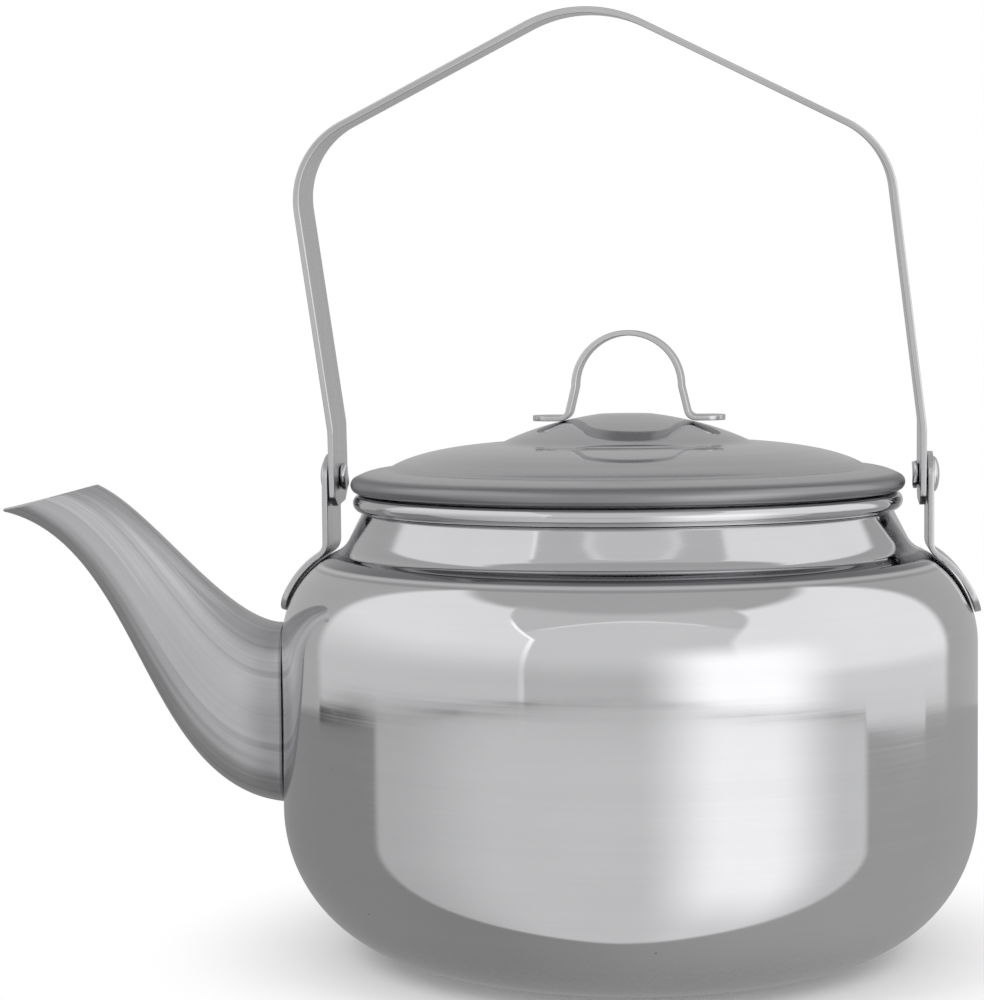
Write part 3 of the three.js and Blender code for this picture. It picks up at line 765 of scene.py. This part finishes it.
def make_ear(side, turned):
    outwards = SEAT_GAP + EAR_SHEET / 2
    bend = shoulder_at(EAR_MIDDLE, outwards)
    tail_height = bend[1] - EAR_TAIL_DROP
    bend_angle = shoulder_angle_at_radius(EAR_MIDDLE, outwards)
    tail_angle = shoulder_angle_at_height(tail_height, outwards)
    tail = shoulder_arc(outwards, bend_angle, tail_angle, 60)
    past = int(np.argmax(np.linalg.norm(tail - bend, axis=1) > EAR_BEND))
    upright = bend + [0, EAR_BEND]
    top = PIVOT_HEIGHT + EAR_TOP_RISE
    path = np.vstack([[[EAR_MIDDLE, top]], pulled(upright, bend, tail[past], 12), tail[past + 1:]])
    length = run_lengths(path)[-1]
    near, _ = end_spacing(length, EAR_TOP_RISE)
    _, far = end_spacing(length, EAR_TAIL_ROUND * 1.25)
    middle = np.linspace(near[-1], far[0], 70)
    line = resampled(path, np.r_[near, middle[1:-1], far])
    heights = line[:, 1]
    up = np.clip((heights - (top - EAR_TOP_RISE)) / EAR_TOP_RISE, 0, 1)
    down = np.clip((tail_height + EAR_TAIL_ROUND - heights) / EAR_TAIL_ROUND, 0, 1)
    widths = np.maximum(EAR_WIDTH / 2 * round_end(up) * round_end(down), NARROWEST)
    points, faces, grain = strap(line, EAR_SHEET, widths)
    low, high = EAR_INNER - CUT_PAST, EAR_FACE + CUT_PAST
    if turned:
        points = half_turned(points)
        low, high = -high, -low
    piece = mesh_piece(f"ear_{side}_strap", points, faces, grain,
                       "kettle", f"ear_{side}", "strap_steel", strap_finish)
    cut(piece, *rivet_bore(low, high, PIVOT_HEIGHT))
    weigh_normals(piece)


def hammered(points, tail_face):
    """The same rivet with its tail a little out of round and dented, as hammering leaves it."""
    points = points.copy()
    y, z = points[:, 1], points[:, 2] - PIVOT_HEIGHT
    turn, reach = np.arctan2(z, y), np.hypot(y, z)
    tail = points[:, 0] < tail_face - 0.01
    swell = np.where(tail, 1 + 0.06 * np.sin(3 * turn + 0.6) + 0.04 * np.sin(5 * turn + 2.1), 1.0)
    dent = 0.16 * np.cos(2 * turn + 1.0) + 0.10 * np.sin(3 * turn)
    deep = points[:, 0] < tail_face - TAIL_RISE / 2
    points[:, 0] += np.where(deep, dent * (reach / TAIL_RADIUS) ** 2 + 0.12, 0.0)
    points[:, 1] = y * swell
    points[:, 2] = z * swell + PIVOT_HEIGHT
    return points


def make_rivet(side, turned):
    tail_face = BAIL_INNER - BAIL_GAP
    rim = EAR_FACE + HEAD_RIM
    head = [(HEAD_RADIUS - 0.25, EAR_FACE), (HEAD_RADIUS - 0.05, EAR_FACE + 0.08), (HEAD_RADIUS, rim)]
    dome = arc((0, rim), HEAD_RADIUS, HEAD_RISE - HEAD_RIM, 0, 90, 14)[1:]
    dome[-1][0] = 0.0
    tail_end = tail_face - TAIL_RISE
    tail_corner = (TAIL_RADIUS - TAIL_ROUND, tail_end + TAIL_ROUND)
    tail_round = arc(tail_corner, TAIL_ROUND, TAIL_ROUND, -90, 0, 6)
    middle = [(radius, tail_end) for radius in (0.0, 0.7, 1.4, 2.1)]
    shank = [(TAIL_RADIUS, tail_face), (SHANK_RADIUS, tail_face), (SHANK_RADIUS, EAR_FACE)]
    profile = np.vstack([middle, tail_round, shank, head, dome])
    points, faces, grain = revolved(profile, RIVET_SIDES, closes=False, axis="x", centre=PIVOT_HEIGHT)
    points = hammered(points, tail_face)
    if turned:
        points = half_turned(points)
    mesh_piece(f"rivet_{side}_domed", points, faces, grain,
               "kettle", f"rivet_{side}", "rivet_steel", rivet_finish)


for side, turned in (("spout_side", True), ("back", False)):
    make_ear(side, turned)
    make_rivet(side, turned)

BAIL_END_DROP, BAIL_CHAMFER_WIDTH, BAIL_CHAMFER_HEIGHT = 6.5, 4.2, 2.6
BAIL_KNEE, BAIL_KNEE_RADIUS = 12.0, 12.0
BAIL_CORNER, BAIL_CORNER_RADIUS = 77.6, 20.0
BAIL_PEAK, BAIL_PEAK_RADIUS, BAIL_SWAY, BAIL_TILT = 112.6, 30.0, 8.2, 5.0


def make_bail():
    leg = BAIL_OUTER - BAIL_SHEET / 2
    corners = [
        (-leg, -BAIL_END_DROP), (-leg, BAIL_KNEE), (-leg - BAIL_SWAY, BAIL_CORNER),
        (-BAIL_SWAY, BAIL_PEAK),
        (leg - BAIL_SWAY, BAIL_CORNER), (leg, BAIL_KNEE), (leg, -BAIL_END_DROP),
    ]
    bends = [0, BAIL_KNEE_RADIUS, BAIL_CORNER_RADIUS]
    path = spaced(rounded(corners, [*bends, BAIL_PEAK_RADIUS, *bends[::-1]], 24), 2.0)
    runs = run_lengths(path)
    length = runs[-1]
    stops = [0, 0.4, BAIL_CHAMFER_HEIGHT - 0.25, BAIL_CHAMFER_HEIGHT + 0.25]
    past_chamfer = BAIL_CHAMFER_HEIGHT + 0.6
    inner = [s for s in runs if past_chamfer < s < length - past_chamfer]
    places = np.array(stops + inner + [length - s for s in stops[::-1]])
    line = resampled(path, places)
    away = np.minimum(places, length - places)
    share = np.clip(1 - away / BAIL_CHAMFER_HEIGHT, 0, 1)
    widths = BAIL_WIDTH / 2 - BAIL_CHAMFER_WIDTH * share
    points, faces, grain = strap(line, BAIL_SHEET, widths)
    tilt = math.radians(BAIL_TILT)
    tool_points, tool_faces = rivet_bore(-leg - CUT_PAST, leg + CUT_PAST, 0)

    def tilted(values):
        values = np.asarray(values, float)
        y = values[:, 1] * math.cos(tilt) - values[:, 2] * math.sin(tilt)
        z = values[:, 1] * math.sin(tilt) + values[:, 2] * math.cos(tilt)
        return np.c_[values[:, 0], y, z + PIVOT_HEIGHT]

    piece = mesh_piece("bail_strap", tilted(points), faces, grain,
                       "bail", "bail", "strap_steel", strap_finish)
    cut(piece, tilted(tool_points), tool_faces)
    weigh_normals(piece)


make_bail()

# ---------------------------------------------------------------- lid
LID_SHEET, LID_ROLL_START, LID_ROLL_END = 0.8, 70, -150
LID_CROWN, LID_CREASE, LID_DOME = (3.2, 3.8), (6.7, 3.4), (13.3, 8.3)
HAT_FOOT, HAT_PULL, HAT_TOP = (29.8, 9.5), (19.9, 14.3), (6.5, 16.2)
LID_ROLL_HEIGHT = RIM_TOP + SEAT_GAP + LID_ROLL_RADIUS


def lid_surface(curve_steps=16, roll_steps=26):
    def at(radius, rise):
        return np.array([radius, LID_ROLL_HEIGHT + rise])

    def inset(distance, rise):
        return at(LID_ROLL_CENTRE_RADIUS - distance, rise)

    crease, foot = inset(*LID_CREASE), at(*HAT_FOOT)
    roll = arc(inset(0, 0), LID_ROLL_RADIUS, LID_ROLL_RADIUS, LID_ROLL_START, LID_ROLL_END, roll_steps)
    return np.vstack([
        at(0, HAT_TOP[1]),
        pulled(at(*HAT_TOP), at(*HAT_PULL), foot, curve_steps),
        pulled(foot, inset(*LID_DOME), crease, curve_steps)[1:],
        pulled(crease, inset(*LID_CROWN), roll[0], curve_steps)[1:],
        roll[1:],
    ])


def make_lid():
    outer = lid_surface()
    inner = moved(outer, -LID_SHEET)
    inner[0][0] = 0.0
    end, other = outer[-1], inner[-1]
    centre, half = (end + other) / 2, (end - other) / 2
    along = unit(outer[-1] - outer[-2]) * np.linalg.norm(half)
    turns = np.linspace(0, np.pi, 8)[1:-1]
    rim = [centre - half * math.cos(turn) + along * math.sin(turn) for turn in turns]
    section = np.vstack([inner, rim, outer[::-1]])
    made = revolved(section, TURN_STEPS, closes=False)
    mesh_piece("lid_pressing", *made, "lid", "lid_shell", "lid_steel", lid_finish)


SKIRT_SHEET, SKIRT_PLAY, SKIRT_FLANGE, SKIRT_BEND, SKIRT_DEPTH = 0.6, 0.8, 2.5, 1.2, 13.4


def make_skirt():
    half = SKIRT_SHEET / 2
    wall = THROAT_RADIUS - SKIRT_PLAY - half
    top = LID_ROLL_HEIGHT + LID_CREASE[1] - LID_SHEET - SEAT_GAP - half
    corners = [(wall - SKIRT_FLANGE, top), (wall, top), (wall, top - SKIRT_DEPTH)]
    section = sheet_section(spaced(rounded(corners, [0, SKIRT_BEND, 0], 12), 2.5), SKIRT_SHEET)
    made = revolved(section, TURN_STEPS, closes=True)
    mesh_piece("lid_ring", *made, "lid", "lid_skirt", "satin_steel", skirt_steel)


HANDLE_SHEET, HANDLE_WIDTH = 1.3, 12.0
HANDLE_SWAY = 0.7  # away from the spout
ARCH_HALF_SPAN, ARCH_RISE, LEG_HEIGHT = 12.6, 12.6, 7.5
KNEE_HALF_SPAN, KNEE_RADIUS, FOOT_HALF_SPAN, FOOT_ROUND = 14.4, 2.2, 22.9, 4.0


def make_handle():
    box_low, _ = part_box("lid_handle")
    foot = box_low.z / MM + HANDLE_SHEET / 2
    springing = foot + LEG_HEIGHT
    corners = [(-FOOT_HALF_SPAN, foot), (-KNEE_HALF_SPAN, foot), (-ARCH_HALF_SPAN, springing)]
    left = rounded(corners, [0, KNEE_RADIUS, 0], 12)
    right = left[::-1] * [-1, 1]
    arch = arc((0, springing), ARCH_HALF_SPAN, ARCH_RISE, 180, 0, 60)
    path = spaced(np.vstack([left, arch[1:-1], right]), 1.5)
    runs = run_lengths(path)
    length = runs[-1]
    near, far = end_spacing(length, FOOT_ROUND)
    inner = [s for s in runs if FOOT_ROUND + 0.2 < s < length - FOOT_ROUND - 0.2]
    places = np.r_[near, inner, far]
    line = resampled(path, places)
    away = np.minimum(places, length - places)
    share = np.clip(1 - away / FOOT_ROUND, 0, 1)
    widths = np.maximum(HANDLE_WIDTH / 2 * round_end(share), NARROWEST)
    points, faces, grain = strap(line, HANDLE_SHEET, widths)
    points = points + [HANDLE_SWAY, 0, 0]
    piece = mesh_piece("lid_handle_strap", points, faces, grain,
                       "lid", "lid_handle", "strap_steel", strap_finish)
    weigh_normals(piece)


make_lid()
make_skirt()
make_handle()

strainer = frame["nodes"]["spout_strainer"]
strainer.data.materials.clear()
strainer.data.materials.append(skirt_steel)

# ---------------------------------------------------------------- studio
TENT_RADIUS = 16.0
# the reflected studio: azimuths in degrees from the camera's side towards +X, and elevations in degrees
OVERHEAD_LEVEL, BEHIND_LEVEL, BETWEEN_LEVEL = 0.52, 0.50, 0.68
MIDDLE_AZIMUTH, ARCH_TOP, ARCH_FALL, ARCH_EDGE_LEVEL = 6.0, 53.5, 0.009, 0.95
LEFT_CLOTH_END, RIGHT_CLOTH_END = -115.5, 128
LAMP_LEVEL, LENS_HALF_WIDTH, LENS_DEPTH = 1.45, 86.0, 63.0
HORIZON, TABLE_TOP = -7.95, -8.0
LINE_LEVEL, CORNER_LEVEL = 0.25, 0.08


def make_tent():
    """A soft studio enclosure that only the reflections see."""
    bpy.ops.mesh.primitive_uv_sphere_add(
        segments=96, ring_count=48, radius=TENT_RADIUS, location=(0, 0, 0.05))
    tent = bpy.context.object
    tent.name = "light_tent"
    tent.visible_camera = tent.visible_diffuse = tent.visible_shadow = False
    tent.visible_glossy = tent.visible_transmission = True
    cloth = Steel("tent_light")
    cloth.tree.nodes.remove(cloth.shader)
    emission = cloth.add("ShaderNodeEmission")
    cloth.feed(cloth.tree.nodes["Material Output"], "Surface", emission.outputs["Emission"])
    x, y, z = cloth.parts(cloth.place())
    azimuth = cloth.sum("DEGREES", cloth.sum("ARCTAN2", x, cloth.sum("MULTIPLY", y, -1.0)))
    elevation = cloth.sum("DEGREES", cloth.sum("ARCSINE", cloth.sum("DIVIDE", z, TENT_RADIUS)))

    def over(below, mask, level):
        return cloth.shifted(below, mask, cloth.sum("SUBTRACT", level, below))

    def past(value, limit, soft):
        return cloth.ease(cloth.sum("SUBTRACT", value, limit), -soft, soft, 0.0, 1.0)

    def short_of(value, limit, soft):
        return cloth.sum("SUBTRACT", 1.0, past(value, limit, soft))

    def near(value, limit, reach, soft):
        away = cloth.sum("ABSOLUTE", cloth.sum("SUBTRACT", value, limit))
        return short_of(away, reach, soft)

    def both(*masks):
        mask = masks[0]
        for other in masks[1:]:
            mask = cloth.sum("MULTIPLY", mask, other)
        return mask

    behind = cloth.ease(cloth.sum("ABSOLUTE", azimuth), 116, 130, 0.0, 1.0)
    light = over(OVERHEAD_LEVEL, both(behind, short_of(elevation, 62, 6)), BEHIND_LEVEL)
    between = both(cloth.band(azimuth, -60, 60, 6, 6), short_of(elevation, 62, 4))
    light = over(light, between, BETWEEN_LEVEL)

    # three cloths in front of the kettle: the left and right ones are lit, the middle one is not
    left_end = cloth.ramp(elevation, 32, 60, -30, -57)
    right_end = cloth.ease(elevation, 25, 56, 39, 58)
    off_middle = cloth.sum("SUBTRACT", azimuth, MIDDLE_AZIMUTH)
    fall = cloth.sum("MULTIPLY", ARCH_FALL, cloth.sum("MULTIPLY", off_middle, off_middle))
    arch = cloth.sum("SUBTRACT", ARCH_TOP, fall)
    middle = both(past(azimuth, left_end, 1.5), short_of(azimuth, right_end, 1.5),
                  short_of(elevation, arch, 2))
    light = over(light, middle, cloth.ease(elevation, -8, 20, 0.62, 0.78))
    arch_edge = both(near(elevation, arch, 0.8, 0.5), cloth.band(azimuth, -30, 36, 4, 4))
    light = over(light, arch_edge, ARCH_EDGE_LEVEL)
    left = both(past(azimuth, LEFT_CLOTH_END, 3), short_of(azimuth, left_end, 1.2),
                short_of(elevation, 60, 2.5))
    light = over(light, left, cloth.ease(elevation, -6, 28, 0.72, 1.0))
    right = both(past(azimuth, right_end, 2), short_of(azimuth, RIGHT_CLOTH_END, 3),
                 short_of(elevation, 57, 2.5))
    light = over(light, right, cloth.ease(elevation, -8, 2, 0.85, 1.06))
    seam = both(near(azimuth, left_end, 0.9, 0.5), short_of(elevation, 48, 4))
    light = over(light, seam, cloth.ease(elevation, 0, 36, 0.85, 1.4))
    lamp = both(cloth.band(azimuth, 19, 64, 15, 14), cloth.band(elevation, -12, 20, 3, 10))
    light = over(light, lamp, LAMP_LEVEL)

    # the table: darker on the left, with a lens-shaped part in front that catches the light
    notch = cloth.sum("MULTIPLY", cloth.band(azimuth, 85, 114, 0.5, 0.5), 0.4)
    brink = cloth.sum("SUBTRACT", HORIZON, notch)
    across = cloth.sum("DIVIDE", x, TENT_RADIUS)
    table = cloth.ease(across, -0.6, 0.8, 0.30, 0.43)
    light = over(light, short_of(elevation, brink, 0.06), table)
    side = cloth.sum("DIVIDE", azimuth, LENS_HALF_WIDTH)
    depth = cloth.sum("DIVIDE", cloth.sum("SUBTRACT", elevation, TABLE_TOP), LENS_DEPTH)
    oval = cloth.sum("ADD", cloth.sum("MULTIPLY", side, side), cloth.sum("MULTIPLY", depth, depth))
    lens = both(short_of(oval, 0.98, 0.04), short_of(elevation, -8.12, 0.05))
    light = over(light, lens, cloth.ease(azimuth, -81, -35, 0.56, 0.74))
    glow = both(lens, cloth.band(azimuth, 20, 63, 15, 14))
    light = over(light, glow, cloth.ease(elevation, -62, -22, 0.85, 1.25))

    # a dark line where the cloths meet the table, heavier at its left end
    line = both(cloth.band(azimuth, -116, 15, 1, 12), cloth.band(elevation, -8.12, -7.95, 0.05, 0.05))
    light = over(light, line, LINE_LEVEL)
    corner = both(cloth.band(azimuth, -116, -90, 1, 8), cloth.band(elevation, -8.2, -7.8, 0.08, 0.08))
    light = over(light, corner, CORNER_LEVEL)
    cloth.feed(emission, "Strength", light)
    cloth.material.cycles.emission_sampling = "NONE"
    tent.data.materials.append(cloth.material)


make_tent()

FLOOR_HALF, FLOOR_DROP = 3.0, 0.0002
FLOOR_NEAR, FLOOR_FAR = 0.045, 0.12  # from the axis: where the paint ends and the plain white begins


def make_floor():
    """A pale floor that takes the kettle's shadow and whitens into the backdrop away from it."""
    bpy.ops.mesh.primitive_plane_add(size=2 * FLOOR_HALF, location=(0, 0, -FLOOR_DROP))
    floor = bpy.context.object
    floor.name = "floor"
    floor.visible_glossy = False
    paint = Steel("pale_floor")
    place = paint.place()
    out = paint.length(*paint.parts(place)[:2])
    far = paint.ease(out, FLOOR_NEAR, FLOOR_FAR, 0.0, 1.0)
    tint = paint.swing(paint.noise(place, 60, detail=3), 0.01, 0.87)
    paint.feed(paint.shader, "Base Color", paint.grey(tint, 0.0))
    paint.shader.inputs["Roughness"].default_value = 0.9
    paint.shader.inputs["Specular IOR Level"].default_value = 0.1
    white = paint.add("ShaderNodeEmission", {"Strength": 1.0})
    mix = paint.add("ShaderNodeMixShader", {"Fac": far})
    paint.tree.links.new(paint.shader.outputs["BSDF"], mix.inputs[1])
    paint.tree.links.new(white.outputs["Emission"], mix.inputs[2])
    paint.feed(paint.tree.nodes["Material Output"], "Surface", mix.outputs["Shader"])
    paint.material.cycles.emission_sampling = "NONE"
    floor.data.materials.append(paint.material)


make_floor()

BACKDROP_LEVEL, SOFT_LIGHT_LEVEL = 1.0, 0.62


def make_world():
    """White where it is seen, reflected or seen through, and a soft light for all else."""
    world = bpy.data.worlds.new("studio")
    scene.world = world
    world.use_nodes = True
    tree = world.node_tree
    tree.nodes.clear()
    backgrounds = []
    for level in (SOFT_LIGHT_LEVEL, BACKDROP_LEVEL):
        background = tree.nodes.new("ShaderNodeBackground")
        background.inputs["Strength"].default_value = level
        background.inputs["Color"].default_value = (1, 1, 1, 1)
        backgrounds.append(background)
    path = tree.nodes.new("ShaderNodeLightPath")
    seen = path.outputs["Is Camera Ray"]
    for ray in ("Is Glossy Ray", "Is Transmission Ray"):
        either = tree.nodes.new("ShaderNodeMath")
        either.operation = "MAXIMUM"
        tree.links.new(seen, either.inputs[0])
        tree.links.new(path.outputs[ray], either.inputs[1])
        seen = either.outputs[0]
    mix = tree.nodes.new("ShaderNodeMixShader")
    tree.links.new(seen, mix.inputs["Fac"])
    for slot, background in enumerate(backgrounds, 1):
        tree.links.new(background.outputs[0], mix.inputs[slot])
    output = tree.nodes.new("ShaderNodeOutputWorld")
    tree.links.new(mix.outputs[0], output.inputs["Surface"])


make_world()

LAMP_SIZE, LAMP_POWER = 0.7, 6


def make_lamp(name, place):
    data = bpy.data.lights.new(name, "AREA")
    data.shape, data.size, data.energy = "DISK", LAMP_SIZE, LAMP_POWER
    lamp = bpy.data.objects.new(name, data)
    scene.collection.objects.link(lamp)
    lamp.location = place
    lamp.rotation_euler = (-lamp.location).to_track_quat("-Z", "Y").to_euler()
    lamp.visible_glossy = lamp.visible_camera = False


make_lamp("lamp_left", (-0.8, -0.7, 1.1))
make_lamp("lamp_right", (0.9, -0.6, 1.1))
